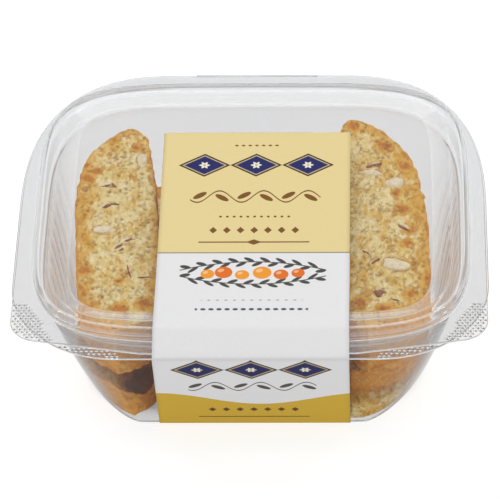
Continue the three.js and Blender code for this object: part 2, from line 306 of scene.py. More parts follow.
class Graph:
    """The node tree of one new material, or of the world."""

    def __init__(self, owner):
        self.owner = owner
        owner.use_nodes = True
        self.tree = owner.node_tree
        self.tree.nodes.clear()

    def node(self, kind, settings=None, values=None, output=0):
        made = self.tree.nodes.new("ShaderNode" + kind)
        for name, value in (settings or {}).items():
            setattr(made, name, value)
        for name, value in (values or {}).items():
            if isinstance(value, Value):
                self.tree.links.new(value.socket, made.inputs[name])
            else:
                made.inputs[name].default_value = value
        return Value(self, made.outputs[output])

    def maths(self, operation, *numbers):
        return self.node("Math", {"operation": operation}, dict(enumerate(numbers)))

    def mix(self, share, first, second):
        """A colour mix, also of web codes. Its sockets 0, 6 and 7 are the share and the colours."""
        first, second = (colour(c) if isinstance(c, str) else c for c in (first, second))
        return self.node("Mix", {"data_type": "RGBA"}, {0: share, 6: first, 7: second}, output=2)

    def place(self, stretch=1.0):
        """Place on the piece, in millimetres. A pattern on it may be stretched along Y."""
        metres = self.node("TexCoord", output="Object")
        scale = (1 / MM, 1 / MM / stretch, 1 / MM)
        return self.node("Mapping", {}, {"Vector": metres, "Scale": scale})

    def speckle(self, place, size, detail=2.0, rough=0.5, lift=0.0):
        """Noise between 0 and 1 with features of one size. lift picks another part of the noise."""
        return self.node(
            "TexNoise", {"noise_dimensions": "4D"},
            {"Vector": place, "Scale": 1 / size, "Detail": detail, "Roughness": rough, "W": lift},
        )

    def attribute(self, name):
        return self.node("Attribute", {"attribute_name": name}, output="Fac")

    def mirrored(self):
        """1 where something is seen in a reflection."""
        return self.node("LightPath", output="Glossy Depth").both(1)

    def bump(self, height, distance):
        """A normal for relief this deep, in millimetres."""
        return self.node("Bump", {}, {"Height": height, "Distance": distance * MM})

    def principled(self, **values):
        named = {name.replace("_", " "): value for name, value in values.items()}
        return self.node("BsdfPrincipled", {}, named)

    def mix_shaders(self, share, first, second):
        return self.node("MixShader", {}, {0: share, 1: first, 2: second})

    def finish(self, shader, kind="Material"):
        output = self.tree.nodes.new("ShaderNodeOutput" + kind)
        self.tree.links.new(shader.socket, output.inputs["Surface"])
        return self.owner


def new_graph(name):
    return Graph(bpy.data.materials.new(name))


# ---- Materials ----

# Share of haze in the clear sheet: everywhere, seen edge on, at folds, where it has painted sheen,
# at a cut edge. All but the first are painted sheen and highlights.
HAZE, HAZE_EDGE_ON, HAZE_FOLD, HAZE_PAINTED_SHEEN, HAZE_CUT = 0.004, 1.1, 0.55, 0.2, 0.3
HAZE_POWER = 6  # how suddenly the haze edge on and at a cut edge sets in
CRUMB_STRETCH = 1.5  # the crumb's grain is longer along the slices
BROAD, GRAIN, FLECK, FINE = 6, 1.9, 1.5, 1.25  # sizes of the patterns in crumb and crust
TOAST_BREAK = 1.1  # how much the patterns break up the toasting


def clear_sheet():
    """Thin clear plastic, slightly milky, and whiter and denser edge on, at folds, on the ridge
    bands and along cut edges, as painted sheen from a glowing white haze that stands in for
    reflections.

    Light from lamps passes straight through, so that what is inside stays lit.
    """
    graph = new_graph("clear_sheet")
    fold = graph.attribute("fold")
    slant = graph.node("LayerWeight", {}, {"Blend": 0.5}, output="Facing")
    lamp = graph.node("LightPath", output="Is Shadow Ray")
    diffuse = lamp.output("Is Diffuse Ray")
    lit = graph.node("BsdfTransparent", {}, {"Color": (0.97, 0.972, 0.975, 1)})
    shaded = graph.node("BsdfTransparent", {}, {"Color": (0.96, 0.96, 0.96, 1)})
    glass = graph.principled(
        Base_Color=(0.845, 0.85, 0.855, 1), Roughness=0.02, IOR=1.46, Transmission_Weight=1.0,
    )
    # The haze glows by itself: painted light, not a lamp.
    haze_and_sheen = graph.principled(
        Base_Color=colour("e6e8ea"), Roughness=0.35,
        Emission_Color=(1, 1, 1, 1), Emission_Strength=0.28,
    )
    milk = graph.attribute("milk")
    share = (
        HAZE + HAZE_EDGE_ON * slant ** HAZE_POWER + HAZE_FOLD * fold
        + HAZE_PAINTED_SHEEN * milk + HAZE_CUT * milk ** HAZE_POWER
    )
    sheet = graph.mix_shaders(share, glass, haze_and_sheen)
    return graph.finish(graph.mix_shaders(lamp, graph.mix_shaders(diffuse, sheet, shaded), lit))


def biscuit(name, lift):
    """Baked crumb on the cut faces and crust on the sides, with painted shade in its pits and in one
    dark spot. lift varies the pattern.
    """
    graph = new_graph(name)
    place = graph.place(CRUMB_STRETCH)
    rim, pit, toast_and_shade = (graph.attribute(name) for name in ("rim", "pit", "toast_and_shade"))
    broad = graph.speckle(place, BROAD, detail=3, lift=lift)
    grain = graph.speckle(place, GRAIN, detail=2, rough=0.6, lift=lift + 3)
    fine = graph.speckle(place, FINE, detail=1, lift=lift + 7)
    flecks = graph.speckle(place, FLECK, detail=1, lift=lift + 11)

    toasted_and_shaded = toast_and_shade + TOAST_BREAK * (broad - 0.5) + TOAST_BREAK * (grain - 0.5)
    golden = toasted_and_shaded.above(0.3, 0.3)
    brown = toasted_and_shaded.above(0.95, 0.25)
    # Burnt edges, and the painted shade of the dark spot on slice_low_left.
    burnt_and_painted_shade = toasted_and_shaded.above(1.9, 0.7)
    pale_flecks = graph.mix(golden, "fff3cc", "f3c257")
    dark_grain = graph.mix(golden, "b38214", "ac6408")
    crumb = graph.mix(broad.above(0.52, 0.14), "f4de9c", "e8bf60")
    for share, tone in (
        (golden * 0.85, "e0a636"),
        (brown * 0.8, "cc7010"),
        (flecks.above(0.57, 0.08) * (0.5 - 0.2 * golden), pale_flecks),
        (grain.above(0.57, 0.1) * 0.42, dark_grain),
        (fine.above(0.62, 0.07) * 0.5, "925a02"),
        # Painted shade in the pits and the grooves round almonds.
        (pit * 0.7, "8a5404"),
        # Burnt brown, which is also the painted shade in that dark spot.
        (burnt_and_painted_shade * 0.9, "6e4028"),
    ):
        crumb = graph.mix(share, crumb, tone)

    crust = graph.mix(broad.above(0.5, 0.12), "f2ac42", "e29422")
    crust = graph.mix(grain.above(0.56, 0.1) * 0.5, crust, "b86e1a")
    crust = graph.mix(flecks.above(0.6, 0.08) * 0.45, crust, "f4c67c")
    cut = (rim + 0.8 * (grain - 0.5)).above(0.35, 0.25)  # rim is millimetres in from the edge
    return graph.finish(graph.principled(
        Base_Color=graph.mix(cut, crust, crumb), Specular_IOR_Level=0.1,
        Roughness=0.8 + 0.15 * fine, Normal=graph.bump(grain * 0.7 + fine * 0.5, 0.5),
    ))


def almond_flesh():
    """Pale flesh, and brown skin down one side of each piece."""
    graph = new_graph("almond_flesh")
    place = graph.place()
    streaks = graph.speckle(place, 1.6, detail=3)
    flesh = graph.mix(streaks.above(0.5, 0.15), "f6e6c8", "e8d0a2")
    skin = graph.mix(streaks.above(0.5, 0.1), "a8683a", "7c4826")
    share = (graph.attribute("skin") + 0.5 * (streaks - 0.5)).above(0.5, 0.12)
    return graph.finish(graph.principled(
        Base_Color=graph.mix(share, flesh, skin),
        Roughness=0.6 + 0.2 * streaks, Normal=graph.bump(streaks, 0.2),
    ))


# ---- Clear shells ----

WOBBLE_SIZE = 22  # thin formed sheet is never quite flat
WOBBLE = 0.12
WOBBLE_FADE = (0.4, 0.1)  # above the panel the wobble sets in from the first to the second
MIDDLE_SHARES = (0.3, 0.6, 0.85)
WALL_STEPS = 14
SQUARER = 0.2  # added to how square the ridge's corners are, for each mm inwards
PANEL_CLEAR = 0.9  # the panel is clear from this far in from its edge
CUT_BAND = 0.5  # width of the band of painted sheen along a cut edge
# Painted sheen of the clear sheet on the foot, the wall's ledge, the flange and a cut edge.
FOOT_SHEEN, WALL_SHEEN, FLANGE_SHEEN, CUT_SHEEN = 0.1, 0.2, 0.06, 1
RIB_PITCH = 7.5
RIB_HEIGHT = 0.2
RIB_LEAN = 0.35  # how far a rib runs forwards for each mm down
RIB_BEND = (0.6, 5)  # height and length of its waves
RIB_MIDDLE = 5  # the ribbed stretch's middle, back from the pack's
RIB_FADES = ((64, 70), (4, 12), (47, 40), (50, 30))  # outwards, up, down and to its middle


def tub_flange(px, py):
    return (FLANGE_BACK if py >= 0 else FLANGE_FRONT).holds(px, py)


def lid_flange(px, py):
    """The lid's flange runs straight down each side to a thumb tab at each front corner."""
    if py >= 0:
        return FLANGE_BACK.inset(LID_SHORT).holds(px, py)
    edge = LID_FRONT - max(abs(px) - TAB_START, 0) * TAB_SLOPE
    u = (abs(px) - (FLANGE_BACK.x - LID_SHORT - TAB_CORNER)) / TAB_CORNER
    v = (-py - (edge - TAB_CORNER)) / TAB_CORNER
    if u > 0 and v > 0:
        return u * u + v * v < 1
    return u < 1 and v < 1


def wall_outline(z):
    """Outer side of the tub's drafted wall at a height."""
    return TUB_FOOT.blend(TUB_MOUTH, z / FLANGE_Z)


def tub_section(angle):
    seat = FLANGE_Z - SEAT_DROP
    under = FLANGE_Z - SHEET

    def foot(by, z, rounding):
        return Corner(reach(TUB_FOOT.inset(by).holds, angle), z, rounding, FOOT_SHEEN)

    def wall(z, by, rounding=0, milk=0):
        return Corner(reach(wall_outline(z).inset(by).holds, angle), z, rounding, milk)

    middle = foot(BASE_RING + BASE_RISE, BASE_RISE, 1.5)
    mouth = reach(TUB_MOUTH.holds, angle)
    edge = reach(tub_flange, angle)
    return [
        *(Corner(middle.out * share, BASE_RISE) for share in MIDDLE_SHARES),
        middle,
        foot(BASE_RING, 0, 1),
        foot(0, 0, FOOT_ROUND),
        *(wall(seat * step / WALL_STEPS, 0) for step in range(1, WALL_STEPS)),
        wall(seat, SEAT_STEP, 0.7, WALL_SHEEN),
        wall(seat + SEAT_STEP, 0, 0.7, WALL_SHEEN),
        Corner(mouth, under, 1.1, WALL_SHEEN),
        Corner(edge - CUT_BAND, under, 0, FLANGE_SHEEN),
        Corner(edge, under, 0, CUT_SHEEN),
    ]


def lid_section(angle):
    crest_in = RIDGE_OUT + RIDGE_TOP
    panel_in = crest_in + RIDGE_FALL
    bead_z = LID_FLANGE_Z + BEAD_RISE

    def ridge(by, z, rounding, milk):
        outline = RIDGE_FOOT.inset(by)._replace(square=RIDGE_FOOT.square + by * SQUARER)
        return Corner(reach(outline.holds, angle), z, rounding, milk)

    # The last number of each corner is its painted sheen, highest on the ridge where reflections
    # fall.
    panel = ridge(panel_in, PANEL_Z, 1.2, 0.35)
    edge = reach(lid_flange, angle)
    return [
        *(Corner(panel.out * share, PANEL_Z) for share in MIDDLE_SHARES),
        ridge(panel_in + PANEL_CLEAR, PANEL_Z, 0, 0),
        panel,
        ridge(panel_in - 2, PANEL_Z + 0.7, 0, 0.3),
        ridge(crest_in, CREST_Z, 1.0, 0.25),
        ridge(RIDGE_OUT, CREST_Z, 1.0, 0.3),
        ridge(0.6 + BEAD_STEP, bead_z + 0.4, 0.5, 0.45),
        ridge(0.5, bead_z - 0.1, 0.6, 0.35),
        ridge(0.7, LID_FLANGE_Z + 0.5, 0.4, 0.25),
        ridge(0, LID_FLANGE_Z, 0.5, 0.2),
        Corner(edge - CUT_BAND, LID_FLANGE_Z, 0, FLANGE_SHEEN),
        Corner(edge, LID_FLANGE_Z, 0, CUT_SHEEN),
    ]


def ramp(value, start, end):
    """0 at start and 1 at end, held outside them."""
    return min(max((value - start) / (end - start), 0), 1)


def wobble(bm):
    """Makes the lid's panel and flange slightly uneven, but not its ridge."""
    start, end = WOBBLE_FADE
    for vert in bm.verts:
        level = ramp(vert.co.z, PANEL_Z + start, PANEL_Z + end)
        vert.co.z += WOBBLE * level * noise.noise(vert.co / WOBBLE_SIZE)


def rib_sides(bm):
    """The tub's side walls carry a few fine ribs that lean forwards on their way down."""
    wave, length = RIB_BEND
    for vert in bm.verts:
        x, y, z = vert.co
        places = abs(x), z, z, abs(y - RIB_MIDDLE)
        fade = math.prod(ramp(place, *ends) for place, ends in zip(places, RIB_FADES))
        bend = wave * math.sin(z / length)
        crest = math.sin((y - RIB_LEAN * z + bend) * math.tau / RIB_PITCH)
        vert.co.x -= math.copysign(fade * RIB_HEIGHT * max(crest, 0) ** 3, x)


def make_shells(clear):
    tub = loft(tub_section, -1)
    rib_sides(tub)
    add_wall(add_piece("tub_shell", tub, [clear], ["tub"]), SHEET)
    lid = loft(lid_section, 1)
    wobble(lid)
    add_wall(add_piece("lid_shell", lid, [clear], ["lid"]), SHEET)


# ---- Knurls on the front corners, for the thumb ----

KNURL_PITCH = (1.9, 1.5)
KNURL_SIZE = (1.0, 0.48, 0.45)
KNURL_TURN = math.radians(35)
KNURL_START, KNURL_DEPTH = -52, 35  # the first row, and how far the rows go on
KNURL_COLUMNS = 50  # to each side of the middle
LID_KNURLS = (-54.5, 82, 0.48)  # back limit, inner limit, and how far that moves in for each mm
LID_KNURL_MARGIN = 0.9  # to the flange's edge
RIDGE_MARGIN = 2
TUB_KNURLS = (48, 78)  # how far out the tub's knurls start and end
TUB_KNURL_MARGIN = 0.45  # to the tub's own edge
UNDER_LID = 0.2  # how far they run in under the lid's edge


def make_knurls(name, wanted, top, clear):
    """Rows of flat ovals, every second row shifted by half a pitch."""
    bm = bmesh.new()
    step_x, step_y = KNURL_PITCH
    for row in range(int(KNURL_DEPTH / step_y)):
        y = KNURL_START - row * step_y
        for column in range(-KNURL_COLUMNS, KNURL_COLUMNS + 1):
            x = (column + 0.5 * (row % 2)) * step_x
            if wanted(x, y):
                turn = Matrix.Rotation(math.copysign(KNURL_TURN, -x), 4, "Z")
                place = Matrix.Translation((x, y, top)) @ turn @ Matrix.Diagonal((*KNURL_SIZE, 1))
                bmesh.ops.create_uvsphere(bm, u_segments=10, v_segments=6, radius=1, matrix=place)
    add_piece(name, bm, [clear])


def on_lid_tab(px, py):
    start, limit, lean = LID_KNURLS
    outer = 1 + LID_KNURL_MARGIN / FLANGE_BACK.x
    return (
        py < start and abs(px) - lean * (py - start) > limit
        and not RIDGE_FOOT.inset(-RIDGE_MARGIN).holds(px, py)
        and lid_flange(px * outer, py * outer)
    )


def on_tub_tab(px, py):
    start, end = TUB_KNURLS
    outer = 1 + TUB_KNURL_MARGIN / FLANGE_BACK.x
    inner = 1 - UNDER_LID / FLANGE_BACK.x
    return (
        start < abs(px) < end and py < 0
        and tub_flange(px * outer, py * outer) and not lid_flange(px * inner, py * inner)
    )


HINGE_IN, HINGE_LOW = 0.55, 0.1  # from the flange's edge in, and from its top down
HINGE_STEPS = (24, 10)  # cuts across it and steps round it
HINGE_SHEET = 0.25


def make_hinge(clear):
    """The fold at the back, a half round of sheet between the two flanges."""
    bm = bmesh.new()
    cuts, steps = HINGE_STEPS
    middle = Vector((0, FLANGE_BACK.y - HINGE_IN, (FLANGE_Z + LID_FLANGE_Z - SHEET) / 2))
    reach_z = (LID_FLANGE_Z - HINGE_LOW) - middle.z
    side = HINGE_WIDTH / 2
    ends = [bm.verts.new((x, middle.y, middle.z + reach_z)) for x in (-side, side)]
    edge = bm.edges.new(ends)
    bmesh.ops.subdivide_edges(bm, edges=[edge], cuts=cuts)
    bmesh.ops.spin(
        bm, geom=bm.verts[:] + bm.edges[:], cent=middle, axis=(1, 0, 0), angle=-math.pi, steps=steps,
    )
    bmesh.ops.recalc_face_normals(bm, faces=bm.faces)
    add_wall(add_piece("hinge_fold", bm, [clear]), HINGE_SHEET)


# ---- Label ----

LABEL_STEPS = (36, 460)  # across it and along it


def label_corners():
    """The label's outer side in y and z, from its back edge round to its end underneath."""
    crest = CREST_Z + GAP
    ridge_y = RIDGE_FOOT.y - RIDGE_OUT
    edge_y = FLANGE_FRONT_Y + GAP
    ring_y = TUB_FOOT.y - BASE_RING
    out = PAPER
    return [Corner(*corner) for corner in (
        (LABEL_BACK, PANEL_Z + GAP + out),
        (LABEL_LIFT, PANEL_Z + GAP + out, 5),
        (RIDGE_TOP - ridge_y + 1.75 * LABEL_BEND, crest - LABEL_BEND / 4 + out, 1),
        (-ridge_y, crest + out, 1.3),
        (-LID_FRONT - GAP - out * 0.4, LID_FLANGE_Z + GAP + out, 1.5),
        (-edge_y - out, FLANGE_Z + GAP, 0.8),
        (-edge_y - out, FLANGE_Z - SHEET - GAP, 1.2),
        (-TUB_FOOT.y - 1.6 * LABEL_BEND - out, 2, 0.8),
        (-TUB_FOOT.y - out * 0.5, 0, 0.8),
        (-ring_y + LABEL_BEND, 0, 0.8),
        (-ring_y + 5 * LABEL_BEND, BASE_RISE - GAP - out, 0.8),
        (LABEL_UNDER, BASE_RISE - GAP - out),
    )]


def along(points, distance):
    """The point at a distance along a line of points."""
    for first, second in zip(points, points[1:]):
        step = (second - first).length
        if distance <= step:
            return first.lerp(second, distance / step)
        distance -= step
    return points[-1]


def make_label(printed, plain):
    points = [station.point for station in soften(label_corners())]
    length = sum((b - a).length for a, b in zip(points, points[1:]))
    bm = bmesh.new()
    columns, rows = LABEL_STEPS
    bmesh.ops.create_grid(bm, x_segments=columns, y_segments=rows, size=1)
    uv = bm.loops.layers.uv.new("band")
    share = {}
    for vert in bm.verts:
        share[vert] = ((vert.co.x + 1) / 2, (1 - vert.co.y) / 2)
        across, down = share[vert]
        y, z = along(points, down * length)
        vert.co = (LABEL_LEFT + across * (LABEL_RIGHT - LABEL_LEFT), y, z)
    for face in bm.faces:
        for loop in face.loops:
            loop[uv].uv = share[loop.vert]
    band = add_piece("label_band", bm, [printed(length), plain], ["label"])
    add_wall(band, PAPER, inner=1)


# ---- Biscotti ----

# Place, turn and tilt in degrees, side of the domed edge, size, then for the front and the back end
# how blunt it is and how far it curls in, drift of the flat side, noise seed, size of the mesh.
Slice = namedtuple(
    "Slice", "name layer across along turn tilt dome length width blunt curl lean seed grain",
)
LOWER = (2.4, 20.8)  # underside and thickness of each layer
LOWER_THIN = (2.4, 17.6)
UPPER = (24.0, 22.2)
SLICES = [
    Slice("slice_top_left", UPPER, -36.4, 1, 3.6, 0.6, -1, 124, 31.9, (5, 3.2), (36, 8), 3, 1, 0.5),
    Slice("slice_top_mid_left", UPPER, -34.2, -2, 3.6, 0, 1, 78, 30, (4, 6), (6, 2), 0, 2, 0.8),
    Slice(
        "slice_top_mid_right", UPPER, 33.4, -2, 2.3, 0.6, -1, 114, 30.4, (3, 3), (6, 6), 1, 3, 0.8,
    ),
    Slice(
        "slice_top_right", UPPER, 34.6, 3.2, 2.3, 1.8, 1, 122.4, 32, (6.5, 2.35), (8, 6), 0, 4, 0.5,
    ),
    Slice("slice_low_left", LOWER_THIN, -34, -1.5, -2, 0, -1, 120, 33, (6, 4), (20, 6), 1, 5, 0.8),
    Slice("slice_low_mid_left", LOWER, -32.4, 0, -1, 0, 1, 114, 30.8, (4, 3), (6, 6), 1, 6, 0.9),
    Slice("slice_low_mid_right", LOWER, 32.2, 0, 1, 0, -1, 114, 31, (4, 3), (6, 6), 1, 7, 0.9),
    Slice("slice_low_right", LOWER, 33.6, -1, 0.5, 0, 1, 120, 34, (6, 4), (3, 6), 1, 8, 0.8),
]
CURL_START = 14  # how suddenly a slice's flat side curls in at its ends
LEDGES = {"slice_low_right": (9.6, 5)}  # height of a ledge at the front end, and its depth
LEDGE_RAG = 2.5  # how uneven it is
LEDGE_RUN = (24, 10)  # from the front end, where the step back sets in and is full
LEDGE_RISE = (0.2, 0.9)  # height below and above the ledge over which the end steps back
LEDGE_LOOK = (2, 0.3)  # rim and toast of the broken crumb on it
BREAKS = {"slice_low_left": (24, 17, 10)}  # length, width and depth of a broken corner
BREAK_FULL = (0.3, 0.2)  # shares of its length and width that have its full depth
SLICE_AIR = 0.5
FOOT_CLEAR = 1.3  # air above the foot's rounding, in foot roundings

# Almond pieces in a cut face: along, from the flat side, length, width, turn in degrees, skin.
ALMONDS = {
    "slice_top_left": [
        (40.5, 5.6, 8.6, 4.2, 1, 0), (-0.3, 20.9, 9.6, 6, 90, 0), (13.8, 19.6, 4.1, 2.6, 131, 0.8),
        (14.4, 16.6, 3.8, 1.1, 80, 1), (25.7, 16.6, 3.9, 1.1, 36, 0.9),
        (26.4, 19.8, 5.6, 2.2, 108, 0.4), (-10.3, 15.8, 5.6, 2.2, 130, 0.6),
        (-7.1, 11.9, 4.4, 2.2, 125, 0.7), (-12.5, 14.7, 2.8, 1.1, 125, 0.7),
        (-25.7, 11.8, 8.3, 1.1, 10, 0.9), (-29.2, 6.2, 6, 0.8, 91, 0.8),
    ],
    "slice_top_mid_left": [
        (26, 15, 9, 4, 60, 0.3), (-8, 20, 8, 4, 20, 0.3), (-30, 11, 8, 4, 110, 0.3),
    ],
    "slice_top_mid_right": [
        (30, 14, 8, 4, 30, 0.3), (4, 9, 9, 4, 75, 0.3), (-30, 18, 8, 4, 140, 0.3),
    ],
    "slice_top_right": [
        (31.9, 13.1, 7.7, 2.6, 77, 0.8), (27.4, 11.6, 9, 3.8, 101, 0),
        (21.1, 20.9, 7.8, 6.4, 93, 0), (-5.2, 22.9, 7.2, 1.4, 129, 0.9),
        (-3.4, 22.8, 6.7, 1.4, 129, 0), (-18.4, 7.8, 4.4, 1, 131, 0.9),
        (-23.1, 11.8, 4.4, 1.5, 52, 0.8), (-25.7, 19, 11.4, 7.6, 120, 0),
        (-41.4, 12.3, 4.6, 5, 93, 0.95), (-45.5, 17.9, 3.2, 0.8, 112, 0.8),
    ],
}
# Toasted spots in a cut face: along, from the flat side, radius, and strength where it is burnt. The
# strong spot on slice_low_left is painted shade, dark where the upper slice shades the gap over it.
SPOT_STRENGTH = 1.6
TOAST_AND_SHADE_SPOTS = {
    # Painted shade: a dark patch under the upper slice's corner, carried as strong toast.
    "slice_low_left": [(-52, 2, 15.5, 5)],
    "slice_top_left": [
        (38.9, 27.4, 4), (30.9, 26.7, 5), (35, 23.9, 4), (48, 6.4, 4.4),
        (-23.4, 28.9, 6), (-44, 6.2, 6), (-30.6, 15.7, 2.4), (-46, 15.6, 5),
    ],
    "slice_top_right": [
        (5.8, 22.8, 5), (-5.8, 25.4, 5), (-13.8, 24.2, 4), (-42.4, 24.4, 5), (15.2, 21, 3.4),
        (55.8, 5.4, 5), (43.2, 17.9, 7), (31, 25.2, 5), (-45.5, 4.7, 5), (-50.3, 13.9, 5),
    ],
}
LARGE_ALMOND = 3  # pieces wider than this have a groove round them, darkened as painted shade
RING, RING_WIDTH = 0.92, 0.16  # its place and width, in half sizes of the piece
ALMOND_SIDES = (28, 16)
ALMOND_SUNK, ALMOND_HALF = 1.0, 1.6  # depth of an almond piece's middle, and half its thickness
ALMOND_CUT, ALMOND_SLANT = 0.78, 0.03  # where the slice's knife cuts it, in half thicknesses
ALMOND_BUMPS = (0.34, 1.4)
SKIN_START, SKIN_STEEP = 0.9, 1.2

FLAT_BAND, DOME_BAND, END_BAND = 3.6, 9, 12  # how far the toasting reaches in from each side
TOAST_LEAST, TOAST_SWING, TOAST_SIZE = 0.2, 1.3, 5
STRETCH_STEP = 0.5
RAG, RAG_MIDDLE, RAG_SIZE = 1.4, 0.6, 4  # unevenness of a cut face's outline
CRUMBLE = 0.9  # rounding where a cut face meets the crust
CRUMBLE_LEAST, CRUMBLE_SIZE = 0.3, 2.5
PIT_SPACING = 2.6
PIT_RADIUS = 0.42  # in spacings
PIT_SHARE = 0.47  # pits lie where the slice's noise is above this
# Pits and the grooves round almonds are sunk and also darkened in colour: painted shade.
PIT_DEPTH, PIT_PAINTED_SHADE, RING_DARK = 0.6, 1.4, 1.2
CRAG_SIZES = (8, 2)  # of the broad and the small relief
FACE_RELIEF = (0.12, 0.16, 0.2)  # depth, share of the broad crags, share of the small ones
CRUST_RELIEF = (0.1, 0.5, 0.25)
HIGHEST = 0.2


def slice_edges(cut, u):
    """Flat and domed edge of a slice at a place along it, from the flat side."""
    share = min(abs(u) / (cut.length / 2), 1)
    end = u > 0
    flat = cut.lean * share ** 2 + cut.curl[end] * share ** CURL_START
    return flat, cut.width * math.sqrt(1 - share ** cut.blunt[end])


def edge_stretch(cut, u):
    """How much longer than its share along the slice each edge runs, at a place."""
    ends = zip(slice_edges(cut, u - STRETCH_STEP), slice_edges(cut, u + STRETCH_STEP))
    return [math.hypot(1, (after - before) / (2 * STRETCH_STEP)) for before, after in ends]


def slice_reach(cut, sign):
    """How far along a slice its two edges meet."""

    def is_open(along_u):
        flat, dome = slice_edges(cut, sign * along_u)
        return dome > flat

    return farthest(is_open, cut.length / 2)


def slice_place(cut):
    """Moves from a slice's own frame (along, from the flat side, up) to the pack's."""
    lift = cut.length / 2 * math.sin(math.radians(cut.tilt))
    own = Matrix(((0, cut.dome, 0, 0), (1, 0, 0, 0), (0, 0, 1, 0), (0, 0, 0, 1)))
    return (
        Matrix.Translation((cut.across, cut.along, cut.layer[0] + lift))
        @ Matrix.Rotation(math.radians(cut.turn), 4, "Z")
        @ Matrix.Rotation(math.radians(cut.tilt), 4, "X")
        @ own
    )


def ragged(cut, place, size, lift=0.0):
    """Smooth noise between 0 and 1 that differs from slice to slice."""
    return 0.5 + 0.5 * noise.noise(place / size + Vector((cut.seed * 17.3, lift, 0)))


def toasting_and_shade(cut, u, across, gaps):
    """How toasted a place on the cut face is: along its edges, and in spots, one of which is painted
    shade.
    """
    bands = (gap / band for gap, band in zip(gaps, (FLAT_BAND, DOME_BAND, END_BAND)))
    patches = ragged(cut, Vector((u, across, 0)), TOAST_SIZE, 3)
    edge = (1 - min(bands)) * (TOAST_LEAST + TOAST_SWING * patches)
    spots = (
        (*strength, SPOT_STRENGTH)[0] * (1 - math.hypot(u - spot_u, across - spot_v) / radius)
        for spot_u, spot_v, radius, *strength in TOAST_AND_SHADE_SPOTS.get(cut.name, ())
    )
    return max(edge, 0, *spots)


def cut_face(cut, bm):
    """A grid pulled to the outline of the slice's cut face."""
    rim = bm.verts.layers.float.new("rim")
    toast_and_shade = bm.verts.layers.float.new("toast_and_shade")
    columns = round(cut.length / cut.grain)
    rows = round(cut.width / cut.grain)
    bmesh.ops.create_grid(bm, x_segments=columns, y_segments=rows, size=1)
    ends = slice_reach(cut, -1), slice_reach(cut, 1)
    for vert in bm.verts:
        x, y, _ = vert.co
        u = math.sin(x * math.pi / 2) * ends[x > 0]
        flat, dome = slice_edges(cut, u)
        flat += RAG * (ragged(cut, Vector((u, 0, 0)), RAG_SIZE) - RAG_MIDDLE)
        dome -= RAG * (ragged(cut, Vector((u, 50, 0)), RAG_SIZE) - RAG_MIDDLE)
        height = flat + max(dome - flat, 0.02) * (y + 1) / 2
        stretch = edge_stretch(cut, u)
        gaps = (height - flat) / stretch[0], (dome - height) / stretch[1], ends[x > 0] - abs(u)
        vert.co = (u, height, 0)
        vert[rim] = max(min(gaps), 0)
        vert[toast_and_shade] = toasting_and_shade(cut, u, height, gaps)


def almond_ring(cut, u, across):
    """1 on the groove round a large almond piece in the cut face, falling to 0 beside it. It is sunk
    and darkened with painted shade.
    """
    ring = 0
    for middle_u, middle_v, length, width, turn, _ in ALMONDS.get(cut.name, ()):
        if width > LARGE_ALMOND:
            back = Matrix.Rotation(-math.radians(turn), 2)
            offset = back @ Vector((u - middle_u, across - middle_v))
            distance = math.hypot(offset.x / length, offset.y / width) * 2 - RING
            ring = max(ring, 1 - abs(distance) / RING_WIDTH)
    return ring


def step_back(cut, bm, rim, toast_and_shade):
    """Sets the front end back above its ledge, where broken crumb shows."""
    height, depth = LEDGES[cut.name]
    start, full = LEDGE_RUN
    below, over = LEDGE_RISE
    for vert in bm.verts:
        height_here = height + LEDGE_RAG * (ragged(cut, vert.co.xy.to_3d(), 5, 4) - 0.5)
        front = ramp(vert.co.x, -cut.length / 2 + start, -cut.length / 2 + full)
        above = ramp(vert.co.z, height_here - below, height_here + over)
        if front > 0.5 and vert.co.z < height_here + over:
            vert[rim], vert[toast_and_shade] = LEDGE_LOOK
        vert.co.x += depth * front * above


def break_corner(cut, bm):
    """Lowers a slice's top towards its front corner at the flat side, where a piece broke off."""
    long, wide, drop = BREAKS[cut.name]
    full_long, full_wide = BREAK_FULL
    for vert in bm.verts:
        front = ramp(vert.co.x, long - cut.length / 2, full_long * long - cut.length / 2)
        side = ramp(vert.co.y, wide, full_wide * wide)
        vert.co.z *= 1 - front * side * drop / cut.layer[1]


def press_to_wall(bm):
    """Presses the crust flat where a slice touches the tub's wall."""
    for vert in bm.verts:
        x, y, z = vert.co
        room = wall_outline(z).inset(SHEET + SLICE_AIR + max(FOOT_CLEAR * FOOT_ROUND - z, 0))
        if not room.holds(x, y):
            angle = math.atan2(y, x)
            limit = reach(room.holds, angle)
            vert.co.xy = limit * math.cos(angle), limit * math.sin(angle)


